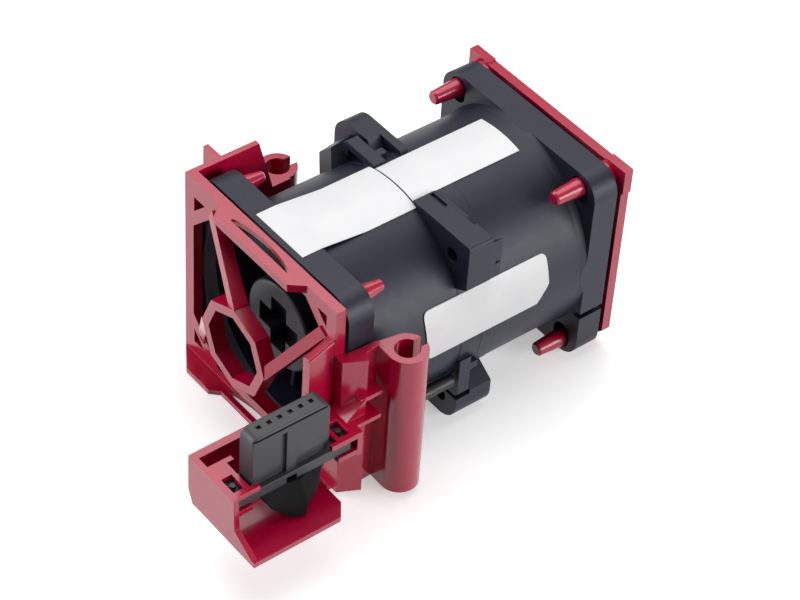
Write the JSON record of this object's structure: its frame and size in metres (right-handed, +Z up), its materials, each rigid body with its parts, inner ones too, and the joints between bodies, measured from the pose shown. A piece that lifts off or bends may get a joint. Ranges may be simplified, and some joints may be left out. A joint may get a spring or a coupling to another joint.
{
  "type": "axial fan module",
  "caption": "Square axial fan with two counter-rotating impellers in a red carrier with a finger guard, guide posts and a floating connector.",
  "frame": {"origin": "centre of the outlet ring's outer face, on the fan axis", "axes": "+Y out of the outlet along the fan axis, +Z up, +X to the side with the connector"},
  "size_m": [0.0614, 0.0864, 0.0403],
  "materials": {
    "red_plastic": "moulded, satin gloss",
    "black_plastic": "moulded, fine grain",
    "impeller_plastic": "moulded",
    "connector_plastic": "moulded",
    "contact_metal": "plated",
    "sleeve_rubber": "matte",
    "wire_jacket": "matte",
    "label_paper": "white film",
    "steel": "ground",
    "magnet": "sintered",
    "brass": "turned",
    "core_steel": "stacked sheets",
    "copper_wire": "enamelled",
    "board": "coated"
  },
  "bodies": {
    "module": {"inlet_carrier": "red_plastic", "guard_ring": "red_plastic", "guard_spokes": "red_plastic", "far_side_wall": "red_plastic", "near_side_wall": "red_plastic", "connector_bracket": "red_plastic", "outlet_ring": "red_plastic", "inlet_housing": "black_plastic", "outlet_housing": "black_plastic", "inlet_label": "label_paper", "outlet_label": "label_paper", "side_label": "label_paper", "inlet_bearings": "steel", "inlet_bearing_tube": "brass", "inlet_stator_core": "core_steel", "inlet_windings": "copper_wire", "inlet_circuit_board": "board", "outlet_bearings": "steel", "outlet_bearing_tube": "brass", "outlet_stator_core": "core_steel", "outlet_windings": "copper_wire", "outlet_circuit_board": "board"},
    "inlet_rotor": {"inlet_impeller": "impeller_plastic", "inlet_rotor_yoke": "steel", "inlet_magnet_ring": "magnet", "inlet_shaft": "steel", "inlet_preload_spring": "steel", "inlet_retaining_clip": "steel"},
    "outlet_rotor": {"outlet_impeller": "impeller_plastic", "outlet_rotor_yoke": "steel", "outlet_magnet_ring": "magnet", "outlet_shaft": "steel", "outlet_preload_spring": "steel", "outlet_retaining_clip": "steel"},
    "connector": {"connector_housing": "connector_plastic", "connector_contacts": "contact_metal", "wire_sleeve": "sleeve_rubber", "lead_bundle": "wire_jacket"}
  },
  "joints": [
    {"name": "inlet_spin", "type": "hinge", "parent": "module", "child": "inlet_rotor", "pos_m": [0, -0.0507, 0], "axis": [0, 1, 0], "continuous": true},
    {"name": "outlet_spin", "type": "hinge", "parent": "module", "child": "outlet_rotor", "pos_m": [0, -0.0107, 0], "axis": [0, 1, 0], "continuous": true},
    {"name": "connector_float", "type": "slide", "parent": "module", "child": "connector", "axis": [0, 1, 0], "range_m": [-0.00015, 0.0003]}
  ]
}
